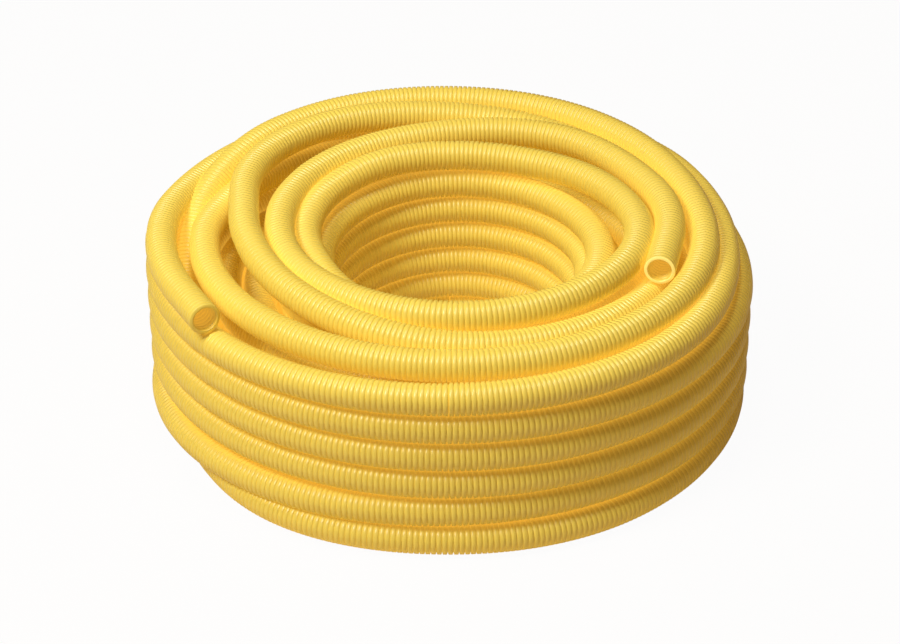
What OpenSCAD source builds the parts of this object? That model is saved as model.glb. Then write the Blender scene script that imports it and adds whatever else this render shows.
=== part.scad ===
// Coil of corrugated plastic conduit, lying flat on its turns.
// Origin at the bottom centre of the coil, +Z up, front of the coil towards -Y.
// Angles run from the front (0) to the right (90), the back (180) and the left (270).

/* [Conduit] */
// Outside diameter over the ribs
tube_od = 25; // [16:1:50]
// Diameter at the bottom of the grooves
groove_d = 20.6; // [13:0.1:44]
// Thickness of the plastic
wall = 0.7; // [0.3:0.05:2]
// Distance from one rib to the next
rib_pitch = 4; // [2.5:0.5:8]
// Width of the flat top of a rib
rib_w = 2.2; // [1:0.1:5]
// Width of the flat bottom of a groove
groove_w = 0.8; // [0.4:0.1:3]

/* [Coil] */
// Clear diameter of the eye
eye_d = 188; // [120:1:260]
// Turns from the eye to the outside
layers = 6; // [5:1:7]
// Turns from the floor to the top of the even winding
levels = 5; // [3:1:8]
// Space between one layer of turns and the next
layer_gap = 0.5; // [0:0.1:3]
// Share of the tube's diameter that one turn takes up
nesting = 0.98; // [0.96:0.005:1]
// How far the lowest turn is pressed out past the turns above it
foot_out = 4; // [0:0.5:6]

/* [Open ends] */
// Ribs on each straight open end
end_ribs = 11; // [6:1:16]

/* [Output] */
// Solid to build

/* [Hidden] */
bore_d = groove_d - 2 * wall;
tube_r = tube_od / 2;
turn_pitch = tube_od * nesting;
layer_pitch = tube_od + layer_gap;
inner_turn_r = eye_d / 2 + tube_r;
outer_turn_r = inner_turn_r + (layers - 1) * layer_pitch;
core_top = level_z(levels - 0.4);
core_inset = tube_r * 0.65;

// The loose turns, by hand: angle, turns out from the eye's own turn, turns up from the floor.
// Both ends of a loop dive into the winding; an open end is straight from its first or last point.
start_loop = [
    [76, 2.8, 6], [95, 2.75, 6], [116, 2.55, 6], [147, 2.45, 6], [180, 1.7, 6], [195, 1.45, 6],
    [216, 1.25, 6], [245, 1.15, 6], [270, 1.2, 6], [315, 1.6, 6], [360, 2, 6], [405, 2, 6],
    [440, 1.85, 6], [476, 1.1, 6], [508, 0.35, 6], [540, 0, 6.05], [576, 0.1, 6], [600, 0.3, 5.75],
    [633, 0.4, 5.5], [680, 0.15, 5.2], [720, 0, 5.04], [765, 0, 5.04], [810, 0, 5.04],
    [855, 0, 5.04], [900, 0, 5.04], [945, 0.3, 4.9], [1000, 1.2, 4.1]
];
bridge_loop = [
    [100, 3.2, 4.1], [145, 3.2, 5.6], [180, 2.95, 6.05], [215, 3.05, 6.3], [236, 2.95, 6.35],
    [251, 2.7, 6.4], [270, 2.35, 6.4], [284, 2.35, 6.35], [315, 2.5, 6], [360, 2.95, 5.55],
    [410, 2.85, 5.15], [425, 2.7, 4.9], [450, 2.4, 4.1]
];
upper_loop = [
    [170, 3.2, 4.1], [225, 3.15, 5.2], [255, 3.3, 5.45], [270, 3.55, 5.5], [285, 3.65, 5.5],
    [315, 3.8, 5.5], [360, 3.95, 5.5], [440, 3.9, 5.6], [464, 3.8, 5.75], [490, 3.9, 5.95],
    [515, 4.15, 6], [540, 4.2, 6.05], [575, 4.2, 6.05], [595, 4.05, 6], [617, 4.15, 5.3],
    [640, 4.2, 4.1]
];
end_loop = [
    [240, 4.1, 4.1], [270, 4.65, 4.3], [300, 4.95, 4.75], [330, 4.97, 5], [360, 4.97, 5.03],
    [405, 4.9, 5.03], [443, 4.55, 4.95], [465, 4.55, 5], [500, 4.8, 5.05], [540, 4.9, 5.15],
    [580, 4.9, 5.25], [610, 4.8, 5.5], [625, 4.9, 5.67], [640, 4.97, 5.8], [660, 5.09, 5.87]
];

ring_angle = 9;
ring_sides = 12;
end_len = end_ribs * rib_pitch;
end_land = rib_pitch;
bore_depth = end_len;
joint_overlap = tube_od * 0.12;

function level_z(n) = tube_r + n * turn_pitch;
function slope(route, i, k) =
    let (n = len(route) - 1)
    i == 0 ? (route[1][k] - route[0][k]) / (route[1][0] - route[0][0]) :
    i == n ? (route[n][k] - route[n - 1][k]) / (route[n][0] - route[n - 1][0]) :
    let (
        before = route[i][0] - route[i - 1][0],
        after = route[i + 1][0] - route[i][0],
        rise_before = (route[i][k] - route[i - 1][k]) / before,
        rise_after = (route[i + 1][k] - route[i][k]) / after
    )
    (rise_before * after + rise_after * before) / (before + after);
function segment(route, angle) =
    max([for (i = [0 : len(route) - 2]) if (i == 0 || route[i][0] <= angle) i]);
function smooth(route, angle, k) =
    let (
        i = segment(route, angle),
        span = route[i + 1][0] - route[i][0],
        t = (angle - route[i][0]) / span
    )
    (2 * t^3 - 3 * t^2 + 1) * route[i][k] + (t^3 - 2 * t^2 + t) * span * slope(route, i, k)
    + (3 * t^2 - 2 * t^3) * route[i + 1][k] + (t^3 - t^2) * span * slope(route, i + 1, k);
function turn_r(route, angle) = inner_turn_r + smooth(route, angle, 1) * layer_pitch;
function turn_z(route, angle) = level_z(smooth(route, angle, 2));
function place(route, angle) = [
    turn_r(route, angle) * sin(angle), -turn_r(route, angle) * cos(angle), turn_z(route, angle)
];
function ring(route, angle, radius) = [
    for (s = [0 : ring_sides - 1])
        let (a = 360 * (s + 0.5) / ring_sides, r = turn_r(route, angle) + radius * cos(a))
        [r * sin(angle), -r * cos(angle), turn_z(route, angle) + radius * sin(a)]
];
function last(route) = route[len(route) - 1][0];

// A loose turn: one closed sweep along its route.
module sweep(route, from, to) {
    count = ceil((to - from) / ring_angle);
    angles = [for (i = [0 : count]) from + (to - from) * i / count];
    n = ring_sides;
    points = [for (a = angles) each ring(route, a, tube_r)];
    sides = [
        for (i = [0 : count - 1]) for (s = [0 : n - 1])
            [i * n + s, i * n + (s + 1) % n, (i + 1) * n + (s + 1) % n, (i + 1) * n + s]
    ];
    first_cap = [[for (s = [0 : n - 1]) n - 1 - s]];
    last_cap = [[for (s = [0 : n - 1]) count * n + s]];
    polyhedron(points, concat(sides, first_cap, last_cap), convexity = 8);
}

// The even winding: a turned solid with its bore, its turns on both walls and on the underside.
module winding() {
    rotate_extrude($fn = 96) {
        for (n = [0 : levels - 1]) {
            translate([inner_turn_r, level_z(n)]) circle(tube_r, $fn = 32);
            translate([outer_turn_r + (n == 0 ? foot_out : 0), level_z(n)]) circle(tube_r, $fn = 32);
        }
        for (k = [1 : layers - 2])
            translate([inner_turn_r + k * layer_pitch, level_z(0)]) circle(tube_r, $fn = 32);
        translate([inner_turn_r, level_z(0)])
            square([outer_turn_r - inner_turn_r, level_z(levels - 1) - level_z(0)]);
        translate([inner_turn_r + core_inset, level_z(0)])
            square([outer_turn_r - inner_turn_r - 2 * core_inset, core_top - level_z(0)]);
    }
}

// A straight open end, turned: mouth at the origin, facing -Z, cut square in a groove.
module open_end() {
    crest = tube_r;
    valley = groove_d / 2;
    flank = (rib_pitch - rib_w - groove_w) / 2;
    rotate_extrude($fn = 64)
        polygon([
            [bore_d / 2, 0], [valley, 0],
            for (i = [0 : end_ribs - 1]) each [
                [valley, i * rib_pitch + groove_w], [crest, i * rib_pitch + groove_w + flank],
                [crest, i * rib_pitch + groove_w + flank + rib_w], [valley, (i + 1) * rib_pitch]
            ],
            [crest, end_len + flank], [crest, end_len + end_land], [0, end_len + end_land],
            [0, bore_depth], [bore_d / 2, bore_depth]
        ]);
}

// Sets the origin's +Z along the tube at the given end of a route; side is 1 at its start, -1 at its end.
module at_end(route, angle, side) {
    step = 2;
    from = place(route, angle);
    to = place(route, angle + side * step);
    run = to - from;
    translate(from)
        rotate([0, acos(run[2] / norm(run)), atan2(run[1], run[0])])
            children();
}

module conduit() {
    color("gold") {
        winding();
        sweep(start_loop, start_loop[0][0], last(start_loop));
        sweep(bridge_loop, bridge_loop[0][0], last(bridge_loop));
        sweep(upper_loop, upper_loop[0][0], last(upper_loop));
        sweep(end_loop, end_loop[0][0], last(end_loop));
        at_end(start_loop, start_loop[0][0], 1)
            translate([0, 0, joint_overlap - end_len - end_land]) open_end();
        at_end(end_loop, last(end_loop), -1)
            translate([0, 0, joint_overlap - end_len - end_land]) open_end();
    }
}

conduit();
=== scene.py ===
import bpy
import bmesh
import math
import numpy as np
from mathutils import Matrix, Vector


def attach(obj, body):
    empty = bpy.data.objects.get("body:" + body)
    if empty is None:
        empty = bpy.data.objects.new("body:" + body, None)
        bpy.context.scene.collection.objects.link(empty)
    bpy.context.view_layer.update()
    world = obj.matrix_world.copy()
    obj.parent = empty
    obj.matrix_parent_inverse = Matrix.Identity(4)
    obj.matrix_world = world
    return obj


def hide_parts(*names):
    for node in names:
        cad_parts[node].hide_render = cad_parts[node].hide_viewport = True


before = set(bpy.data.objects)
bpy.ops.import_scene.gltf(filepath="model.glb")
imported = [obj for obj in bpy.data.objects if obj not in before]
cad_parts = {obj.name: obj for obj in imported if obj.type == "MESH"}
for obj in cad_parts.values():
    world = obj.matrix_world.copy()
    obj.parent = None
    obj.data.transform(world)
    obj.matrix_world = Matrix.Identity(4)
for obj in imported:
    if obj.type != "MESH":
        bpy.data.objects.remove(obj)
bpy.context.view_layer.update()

# The conduit: one extruded tube of yellow PVC, pressed into ring-shaped ribs while hot, then wound
# turn upon turn into a coil. Its centre line is laid out as it was wound: from the free end on the
# right, down the eye, through the inner layers, up the outside wall and to the free end on the left.
TUBE_OD = 0.025
EYE_D = 0.188
EYE_TURN_R = EYE_D / 2 + TUBE_OD / 2
LAYER_GAP = 0.0005
LAYER_PITCH = TUBE_OD + LAYER_GAP
NESTING = 0.98                # share of the tube's diameter by which each turn lies above the last
TURN_PITCH = TUBE_OD * NESTING
STRAIGHT_END = 0.045

# The turns, listed one by one. Each point is the angle from the front round to the right, the turns out
# from the eye's own turn, and the turns up from the floor.
start_loop = [
    (76, 2.8, 6), (95, 2.75, 6), (116, 2.55, 6), (147, 2.45, 6), (180, 1.7, 6), (195, 1.45, 6),
    (216, 1.25, 6), (245, 1.15, 6), (270, 1.2, 6), (315, 1.6, 6), (360, 2, 6), (405, 2, 6),
    (440, 1.85, 6), (476, 1.1, 6), (508, 0.35, 6), (540, 0, 6.05), (576, 0.1, 6),
    (600, 0.3, 5.75), (633, 0.4, 5.5), (655, 0.42, 5.4), (680, 0.6, 5.15),
]
eye_top = [
    (0, 0.92, 5), (45, 0.85, 4.95), (70, 0.72, 4.9), (90, 0.6, 4.9), (130, 0.28, 4.95),
    (180, 0, 5), (270, 0, 4.5), (360, 0, 4), (450, 0.3, 4), (540, 0, 4), (630, 0, 3.5),
    (720, 0, 3), (810, 0.15, 3), (900, 0, 3), (990, 0, 2.5), (1080, 0, 2),
]
eye_to_second = [(90, 0, 0), (180, 0, 0), (270, 1, 0), (360, 1, 0)]
second_to_bridge = [(90, 1, 3.93), (180, 1, 4.15), (270, 1, 4.73), (360, 1.9, 4.97)]
bridge_loop = [
    (55, 1.85, 5), (78, 2.05, 5.02), (105, 2.95, 5), (145, 3.2, 5.6), (180, 2.95, 6.05),
    (215, 3.05, 6.29), (236, 2.95, 6.33), (251, 2.7, 6.38), (270, 2.35, 6.38),
    (284, 2.35, 6.33), (315, 2.5, 6), (360, 2.95, 5.55), (410, 2.85, 5.15), (425, 2.7, 4.9),
    (450, 2.4, 4.1), (540, 2.05, 4), (630, 2, 3.5), (720, 2, 3),
]
third_to_fourth = [(90, 2, 0), (180, 2, 0), (270, 2, 0), (360, 3, 0)]
upper_loop = [
    (90, 3.1, 3.95), (170, 3.2, 4.3), (225, 3.15, 5.2), (255, 3.3, 5.45), (270, 3.55, 5.5),
    (285, 3.65, 5.5), (315, 3.8, 5.5), (360, 3.95, 5.5), (440, 3.9, 5.6), (464, 3.8, 5.75),
    (490, 3.9, 5.95), (515, 4.15, 6), (540, 4.2, 6.05), (575, 4.2, 6.05), (595, 4.05, 6),
    (617, 4.15, 5.3), (640, 4.2, 4.1), (720, 4, 4),
]
fifth_to_wall = [
    (90, 4, 0), (180, 4, 0), (260, 4, 0), (298, 4.6, 0), (325, 5.15, 0), (360, 5.15, 0),
    (390, 5.15, 0), (405, 5.08, 0), (430, 4.98, 0), (450, 4.95, 0), (540, 5, 0.05),
    (630, 5.02, 0.45), (660, 5.17, 0.67), (690, 5.13, 0.85), (720, 5.04, 1),
]
end_loop = [
    (90, 5.03, 3.95), (120, 5.15, 4.12), (150, 5.15, 4.3), (180, 5.08, 4.38), (270, 5, 4.73),
    (360, 5, 5), (405, 4.9, 5.03), (443, 4.55, 4.95), (465, 4.63, 5.03), (485, 4.85, 5.12),
    (500, 4.92, 5.15), (540, 4.93, 5.17), (580, 4.9, 5.25), (610, 4.8, 5.5), (625, 4.9, 5.67),
    (640, 4.97, 5.8), (660, 5.09, 5.87),
]


def after(turns, points):
    """Points that follow after this many whole turns."""
    return [(angle + 360 * turns, out, up) for angle, out, up in points]


def falling(turns, out, top, count):
    """A layer wound downwards: level from the front to the back, then down by one past the left."""
    return [
        point
        for k in range(count)
        for point in after(turns + k, [
            (90, out, top - k), (180, out, top - k), (270, out, top - k - 0.5), (360, out, top - k - 1),
        ])
    ]


def climbing(turns, out, bottom, count):
    """A layer wound upwards: level on the right, then up by one past the back and the left."""
    return [
        point
        for k in range(count)
        for point in after(turns + k, [
            (90, out, max(bottom + k - 0.07, 0)), (180, out, bottom + k + 0.15),
            (270, out, bottom + k + 0.73), (360, out, bottom + k + 1),
        ])
    ]


route = [
    *start_loop,
    *after(2, eye_top),
    *falling(5, out=0, top=2, count=2),
    *after(7, eye_to_second),
    *climbing(8, out=1, bottom=0, count=4),
    *after(12, second_to_bridge),
    *after(13, bridge_loop),
    *falling(15, out=2, top=3, count=3),
    *after(18, third_to_fourth),
    *climbing(19, out=3, bottom=0, count=4),
    *after(23, upper_loop),
    *falling(25, out=4, top=4, count=4),
    *after(29, fifth_to_wall),
    *climbing(31, out=5, bottom=1, count=3),
    *after(34, end_loop),
]
angles, outs, ups = np.array(route, float).T
assert (np.diff(angles) > 0).all(), "the route turns back on itself"


def eased(values, at):
    """Cubic curve through the values, with the slope at each from its neighbours on both sides."""
    step = np.diff(angles)
    rise = np.diff(values) / step
    slope = np.empty(len(values))
    slope[0], slope[-1] = rise[0], rise[-1]
    slope[1:-1] = (rise[:-1] * step[1:] + rise[1:] * step[:-1]) / (step[:-1] + step[1:])
    i = np.clip(np.searchsorted(angles, at, side="right") - 1, 0, len(step) - 1)
    h = step[i]
    t = (at - angles[i]) / h
    return (
        (2 * t**3 - 3 * t**2 + 1) * values[i] + (t**3 - 2 * t**2 + t) * h * slope[i]
        + (3 * t**2 - 2 * t**3) * values[i + 1] + (t**3 - t**2) * h * slope[i + 1]
    )


def unit(v):
    return v / np.linalg.norm(v)


# One point to a degree of winding, and a straight run out to each mouth.
degrees = np.linspace(angles[0], angles[-1], int(angles[-1] - angles[0]) + 1)
around = np.radians(degrees)
reach = EYE_TURN_R + np.maximum(eased(outs, degrees), 0) * LAYER_PITCH
height = TUBE_OD / 2 + np.maximum(eased(ups, degrees), 0) * TURN_PITCH
centre = np.stack([reach * np.sin(around), -reach * np.cos(around), height], 1)
into_start = unit(centre[1] - centre[0])
into_end = unit(centre[-2] - centre[-1])
start_mouth = centre[0] - into_start * STRAIGHT_END
end_mouth = centre[-1] - into_end * STRAIGHT_END
centre = np.vstack([start_mouth, centre, end_mouth])
runs = np.concatenate([[0], np.cumsum(np.linalg.norm(np.diff(centre, axis=0), axis=1))])
end_run = runs[-1]


def run_at(angle):
    """Length of tube from the start mouth, which is the first point, to this angle of the route."""
    return runs[1 + int(angle - angles[0])]


centre_line = bpy.data.curves.new("conduit_centre", "CURVE")
centre_line.dimensions = "3D"
spline = centre_line.splines.new("POLY")
spline.points.add(len(centre) - 1)
spline.points.foreach_set("co", np.hstack([centre, np.ones((len(centre), 1))]).ravel())

# The ribs: the hot tube is sucked into the ring-shaped grooves of a travelling mould, so that every
# rib is the same ring. The tree walks along the centre line with five stations to a rib, from the
# groove's bottom over the rib's shoulders and flat top, and puts a ring of its own radius at each.
RIB_PITCH = 0.004
SHOULDER = 0.00052            # along from the groove's bottom to the rib's shoulder
TOP_START = 0.0009            # along from the groove's bottom to the rib's flat top
ROUNDING = 0.00032            # how far the shoulder lies below the top
GROOVE_D = 0.0206
STATIONS = 5
MATH = "ShaderNodeMath"


def add(tree, kind, inputs=(), links=(), **settings):
    """One node, with its settings, its own values by socket, and its links from outputs or nodes."""
    node = tree.nodes.new(kind)
    for name, value in settings.items():
        setattr(node, name, value)
    for socket, value in inputs:
        node.inputs[socket].default_value = value
    for socket, source in links:
        output = source.outputs[0] if isinstance(source, bpy.types.Node) else source
        tree.links.new(output, node.inputs[socket])
    return node


ribs = bpy.data.node_groups.new("ribbed_tube", "GeometryNodeTree")
for kind, names in (
    ("Geometry", ("Geometry",)),
    ("Int", ("Rib count", "Sides")),
    ("Float", (
        "Start", "Rib pitch", "Near shoulder", "Top start", "Top end", "Far shoulder",
        "Groove radius", "Shoulder radius", "Top radius", "Crowding", "Crowded side",
    )),
    ("Bool", ("Caps",)),
    ("Material", ("Plastic",)),
):
    for name in names:
        ribs.interface.new_socket(name, in_out="INPUT", socket_type="NodeSocket" + kind)
ribs.interface.new_socket("Geometry", in_out="OUTPUT", socket_type="NodeSocketGeometry")
given = add(ribs, "NodeGroupInput").outputs

index = add(ribs, "GeometryNodeInputIndex")
ratio = add(ribs, MATH, operation="DIVIDE", links=[(0, index)], inputs=[(1, STATIONS)])
rib = add(ribs, MATH, operation="FLOOR", links=[(0, ratio)])
station = add(ribs, MATH, operation="MODULO", links=[(0, index)], inputs=[(1, STATIONS)])
offset = add(ribs, "GeometryNodeIndexSwitch", data_type="FLOAT", links=[("Index", station)])
radius = add(ribs, "GeometryNodeIndexSwitch", data_type="FLOAT", links=[("Index", station)])
for switch, names in (
    (offset, (None, "Near shoulder", "Top start", "Top end", "Far shoulder")),
    (radius, ("Groove radius", "Shoulder radius", "Top radius", "Top radius", "Shoulder radius")),
):
    while len(switch.index_switch_items) < STATIONS:
        switch.index_switch_items.new()
    for k, name in enumerate(names):
        if name:
            ribs.links.new(given[name], switch.inputs[1 + k])
to_rib = add(ribs, MATH, operation="MULTIPLY", links=[(0, rib), (1, given["Rib pitch"])])
to_station = add(ribs, MATH, operation="ADD", links=[(0, to_rib), (1, offset)])
along = add(ribs, MATH, operation="ADD", links=[(0, to_station), (1, given["Start"])])
line = given["Geometry"]
sample = add(
    ribs, "GeometryNodeSampleCurve", mode="LENGTH", links=[("Curves", line), ("Length", along)],
)
steps = add(ribs, MATH, operation="MULTIPLY", links=[(0, given["Rib count"])], inputs=[(1, STATIONS)])
stops = add(ribs, MATH, operation="ADD", links=[(0, steps)], inputs=[(1, 1)])
walk = add(
    ribs, "GeometryNodeResampleCurve", mode="COUNT", links=[("Curve", line), ("Count", stops)],
)
walk = add(
    ribs, "GeometryNodeSetPosition",
    links=[("Geometry", walk), ("Position", sample.outputs["Position"])],
)
walk = add(ribs, "GeometryNodeSetCurveNormal", mode="Z_UP", links=[("Curve", walk)])

# The ring's corners crowd towards the side that shows, where a rib's edge has to look round.
share = add(ribs, MATH, operation="DIVIDE", links=[(0, index), (1, given["Sides"])])
corner = add(ribs, MATH, operation="MULTIPLY", links=[(0, share)], inputs=[(1, math.tau)])
sine = add(ribs, MATH, operation="SINE", links=[(0, corner)])
pull = add(ribs, MATH, operation="MULTIPLY", links=[(0, sine), (1, given["Crowding"])])
drawn = add(ribs, MATH, operation="SUBTRACT", links=[(0, corner), (1, pull)])
turn = add(ribs, MATH, operation="ADD", links=[(0, drawn), (1, given["Crowded side"])])
across = add(ribs, MATH, operation="COSINE", links=[(0, turn)])
upward = add(ribs, MATH, operation="SINE", links=[(0, turn)])
corner_at = add(ribs, "ShaderNodeCombineXYZ", links=[("X", across), ("Y", upward)])
ring = add(
    ribs, "GeometryNodeCurvePrimitiveCircle",
    inputs=[("Radius", 1.0)], links=[("Resolution", given["Sides"])],
)
ring = add(ribs, "GeometryNodeSetPosition", links=[("Geometry", ring), ("Position", corner_at)])

tube = add(
    ribs, "GeometryNodeCurveToMesh",
    links=[
        ("Curve", walk), ("Profile Curve", ring), ("Scale", radius), ("Fill Caps", given["Caps"]),
    ],
)
tube = add(ribs, "GeometryNodeSetShadeSmooth", links=[("Geometry", tube)])
tube = add(ribs, "GeometryNodeRealizeInstances", links=[("Geometry", tube)])
tube = add(
    ribs, "GeometryNodeSetMaterial", links=[("Geometry", tube), ("Material", given["Plastic"])],
)
add(ribs, "NodeGroupOutput", links=[(0, tube)])
sockets = {item.name: item.identifier for item in ribs.interface.items_tree if item.in_out == "INPUT"}

# Extruded PVC, pigmented yellow: a satin skin from the hot mould. The bore, the grooves and the
# crevices
# between turns get painted light: an emission, the stronger the more shut in a spot is, paints them
# gold in place of the light that bounces in and passes the thin wall, so that they don't go black.
pvc = bpy.data.materials.new("extruded_pvc_yellow")
pvc.use_nodes = True
skin = pvc.node_tree
shader = skin.nodes["Principled BSDF"]


def linear(hex_colour):
    """Linear RGBA of an sRGB hex colour."""
    parts = [int(hex_colour[i:i + 2], 16) / 255 for i in (1, 3, 5)]
    return [p / 12.92 if p <= 0.04045 else ((p + 0.055) / 1.055) ** 2.4 for p in parts] + [1.0]


shader.inputs["Base Color"].default_value = linear("#F5DC60")
shader.inputs["Roughness"].default_value = 0.34
shader.inputs["IOR"].default_value = 1.53
# Painted light: the colour of the emission that paints the shut-in places gold.
shader.inputs["Emission Color"].default_value = linear("#ECC95E")
shut_in = add(skin, "ShaderNodeAmbientOcclusion", samples=6, inputs=[("Distance", TUBE_OD)])
painted_crevice_light = add(
    skin, "ShaderNodeMapRange", links=[("Value", shut_in.outputs["AO"])],
    inputs=[("From Min", 0.0), ("From Max", 0.75), ("To Min", 0.3), ("To Max", 0.0)],
)
skin.links.new(painted_crevice_light.outputs[0], shader.inputs["Emission Strength"])


def tube_mesh(start, end, sides, pitch=RIB_PITCH, crowding=0.0, side=0.0, thinner=0.0, caps=True):
    """Mesh of the conduit from one run of its length to another, with ribs of about this pitch.

    Corners crowd towards side, an angle up from outwards. Every radius is smaller by thinner.
    """
    count = round((end - start) / pitch)
    scale = (end - start) / count / RIB_PITCH
    holder = bpy.data.objects.new("conduit_path", centre_line)
    bpy.context.scene.collection.objects.link(holder)
    modifier = holder.modifiers.new("ribs", "NODES")
    modifier.node_group = ribs
    values = {
        "Start": start, "Rib count": count, "Rib pitch": scale * RIB_PITCH,
        "Near shoulder": scale * SHOULDER, "Top start": scale * TOP_START,
        "Top end": scale * (RIB_PITCH - TOP_START), "Far shoulder": scale * (RIB_PITCH - SHOULDER),
        "Groove radius": GROOVE_D / 2 - thinner, "Shoulder radius": TUBE_OD / 2 - ROUNDING - thinner,
        "Top radius": TUBE_OD / 2 - thinner, "Sides": sides, "Crowding": crowding,
        "Crowded side": side, "Caps": caps, "Plastic": pvc,
    }
    for name, value in values.items():
        modifier[sockets[name]] = value
    bpy.context.view_layer.update()
    graph = bpy.context.evaluated_depsgraph_get()
    mesh = bpy.data.meshes.new_from_object(holder.evaluated_get(graph), depsgraph=graph)
    bpy.data.objects.remove(holder)
    return mesh


def conduit_piece(name, mesh):
    piece = bpy.data.objects.new(name, mesh)
    bpy.context.scene.collection.objects.link(piece)
    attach(piece, "root")
    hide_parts("conduit")


# The turns: one unbroken tube, held in the coil by its own stiffness and by the turns over it. It is
# made in lengths that meet in a groove. Turns that show, or lie on the floor, have all their ribs,
# with most corners on the side that shows, and the hidden ones have one coarse rib for every five.
OUT, UP, IN, DOWN = 0, math.radians(90), math.radians(180), math.radians(-90)
HOLLOW = 36 * RIB_PITCH       # length of each free end that is made with its bore
WALL_PITCH = 0.0042           # the ribs round the outside stand a little further apart
CORE_PITCH = 5 * RIB_PITCH
loose = dict(sides=14, crowding=0.3, side=UP)
round_eye = dict(sides=12, crowding=0.45, side=IN)
on_floor = dict(sides=10, crowding=0.4, side=DOWN)
layer_top = dict(sides=10, crowding=0.3, side=UP)
outside_wall = dict(sides=12, crowding=0.4, side=OUT, pitch=WALL_PITCH)
hidden = dict(sides=8, pitch=CORE_PITCH)

start = HOLLOW
for name, last_angle, made in (
    ("start_turns", 720, loose),
    ("eye_turns", 2700, round_eye),
    ("second_layer_floor", 3060, on_floor),
    ("second_layer_core", 4320, hidden),
    ("bridge_turns", 5120, loose),
    ("third_layer_top", 5400, layer_top),
    ("third_layer_core", 6280, hidden),
    ("inner_floor_turns", 7110, on_floor),
    ("fourth_layer_core", 7960, hidden),
    ("fourth_layer_top", 8380, layer_top),
    ("upper_turns", 8980, loose),
    ("fifth_layer_top", 9340, layer_top),
    ("fifth_layer_core", 10280, hidden),
    ("outer_floor_turn", 10680, on_floor),
    ("wall_low", 11700, outside_wall),
    ("wall_high", 12600, outside_wall),
    ("end_turns", None, loose),
):
    end = run_at(last_angle) if last_angle else end_run - HOLLOW
    conduit_piece("conduit_" + name, tube_mesh(start, end, **made))
    start = end

# The two free ends are hollow, each cut square in a groove with a knife. The cut edge is pale: it is
# clean plastic, and on top of that a weak emission paints light on it, in place of light coming out of
# the wall there.
WALL = 0.0007
MOUTH_SIDES = 24
CUT_DEPTH = 0.0006            # how far in from the mouth a face still counts as the cut edge
cut_pvc = bpy.data.materials.new("knife_cut_pvc_edge_with_painted_light")
cut_pvc.use_nodes = True
edge = cut_pvc.node_tree.nodes["Principled BSDF"]
edge.inputs["Base Color"].default_value = linear("#F6DE78")
edge.inputs["Roughness"].default_value = 0.5
# Painted light: the cut edge shines pale yellow though it is no lamp.
edge.inputs["Emission Color"].default_value = linear("#FFE98A")
edge.inputs["Emission Strength"].default_value = 0.36


def hollow_end(start, end, mouth, inward):
    """An open end: the tube's outside and, one wall in, its inside, joined by a rim at each end."""
    shell = bmesh.new()
    shell.from_mesh(tube_mesh(start, end, MOUTH_SIDES, caps=False))
    outside = len(shell.faces)
    shell.from_mesh(tube_mesh(start, end, MOUTH_SIDES, thinner=WALL, caps=False))
    bmesh.ops.reverse_faces(shell, faces=list(shell.faces)[outside:])
    rim = [e for e in shell.edges if e.is_boundary and (e.verts[0].co - mouth).length < TUBE_OD]
    bmesh.ops.bridge_loops(shell, edges=rim)
    bmesh.ops.bridge_loops(shell, edges=[e for e in shell.edges if e.is_boundary])
    bmesh.ops.recalc_face_normals(shell, faces=shell.faces)
    for face in shell.faces:
        face.smooth = True
        face.material_index = int(all((v.co - mouth).dot(inward) < CUT_DEPTH for v in face.verts))
    mesh = bpy.data.meshes.new("hollow_end")
    shell.to_mesh(mesh)
    shell.free()
    mesh.materials.append(pvc)
    mesh.materials.append(cut_pvc)
    return mesh


for name, start, end, mouth, inward in (
    ("conduit_start_end", 0, HOLLOW, start_mouth, into_start),
    ("conduit_far_end", end_run - HOLLOW, end_run, end_mouth, into_end),
):
    conduit_piece(name, hollow_end(start, end, Vector(mouth), Vector(inward)))

# The floor: a wide sheet of matt paper, warm enough to throw a warm light up under the coil. To the
# camera it is burnt out to white, all but the coil's own soft shadow.
FLOOR_REACH = 6
BURN = 0.96
corners = [(x * FLOOR_REACH, y * FLOOR_REACH, 0) for x, y in ((-1, -1), (1, -1), (1, 1), (-1, 1))]
floor_data = bpy.data.meshes.new("floor")
floor_data.from_pydata(corners, [], [(0, 1, 2, 3)])
floor = bpy.data.objects.new("floor", floor_data)
bpy.context.scene.collection.objects.link(floor)
paper = bpy.data.materials.new("white_paper_floor")
paper.use_nodes = True
sheet = paper.node_tree
matt = sheet.nodes["Principled BSDF"]
matt.inputs["Base Color"].default_value = linear("#DACBB5")
matt.inputs["Roughness"].default_value = 0.9
white = add(
    sheet, "ShaderNodeEmission", inputs=[("Color", linear("#FFFFFF")), ("Strength", 1.0)],
)
to_camera = add(sheet, "ShaderNodeLightPath").outputs["Is Camera Ray"]
burnt = add(sheet, MATH, operation="MULTIPLY", links=[(0, to_camera)], inputs=[(1, BURN)])
seen_floor = add(sheet, "ShaderNodeMixShader", links=[(0, burnt), (1, matt), (2, white)])
sheet.links.new(seen_floor.outputs[0], sheet.nodes["Material Output"].inputs["Surface"])
floor_data.materials.append(paper)

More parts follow.
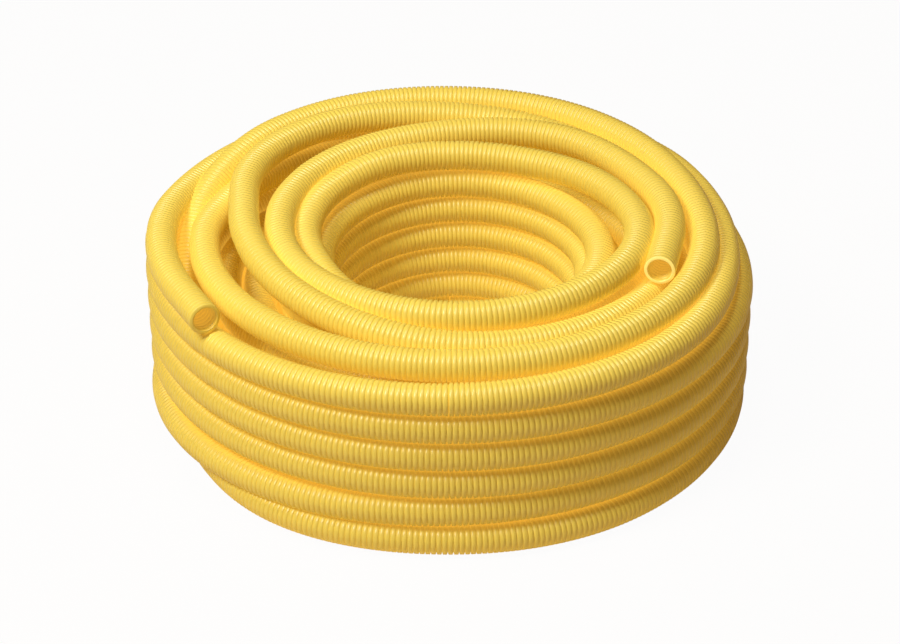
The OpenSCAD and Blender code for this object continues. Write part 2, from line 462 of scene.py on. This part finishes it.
# The room: a weak, warm light from all round, which the camera sees as plain white.
FIRST_COLOUR, SECOND_COLOUR, MIXED_COLOUR = 6, 7, 2    # the mix node's sockets for colours
world = bpy.data.worlds.new("studio")
bpy.context.scene.world = world
world.use_nodes = True
sky = world.node_tree
to_camera = add(sky, "ShaderNodeLightPath").outputs["Is Camera Ray"]
strength = add(
    sky, "ShaderNodeMapRange", links=[("Value", to_camera)], inputs=[("To Min", 0.21), ("To Max", 1.0)],
)
tint = add(
    sky, "ShaderNodeMix", data_type="RGBA", links=[(0, to_camera)],
    inputs=[(FIRST_COLOUR, linear("#FFCC8C")), (SECOND_COLOUR, linear("#FFFFFF"))],
)
sky.links.new(tint.outputs[MIXED_COLOUR], sky.nodes["Background"].inputs["Color"])
sky.links.new(strength.outputs[0], sky.nodes["Background"].inputs["Strength"])

# The lamps: a large soft one high on the left and a weaker one from above, so that the coil's right
# side falls away into a deeper gold.
lit_point = Vector((0, 0, 0.08))
for name, at, size, power in (
    ("key_lamp", Vector((-1.2, -0.9, 2.0)), 0.8, 36),
    ("top_lamp", Vector((-0.1, -0.2, 2.3)), 0.6, 17),
):
    data = bpy.data.lights.new(name, "AREA")
    data.shape = "DISK"
    data.size = size
    data.energy = power
    lamp = bpy.data.objects.new(name, data)
    lamp.location = at
    lamp.rotation_euler = (lit_point - at).to_track_quat("-Z", "Y").to_euler()
    bpy.context.scene.collection.objects.link(lamp)

# The camera: in front of the coil and well above it, two metres off with a long lens.
CAMERA_DISTANCE = 2.01
camera_tilt = math.radians(31.06)
aim = Vector((0, 0, 0.0603))
camera_data = bpy.data.cameras.new("camera")
camera_data.sensor_width = 36
camera_data.lens = 96.9
camera_data.clip_end = 50
camera = bpy.data.objects.new("camera", camera_data)
bpy.context.scene.collection.objects.link(camera)
camera.location = aim + CAMERA_DISTANCE * Vector((0, -math.cos(camera_tilt), math.sin(camera_tilt)))
camera.rotation_euler = (aim - camera.location).to_track_quat("-Z", "Y").to_euler()
bpy.context.scene.camera = camera
bpy.context.scene.view_settings.view_transform = "Standard"
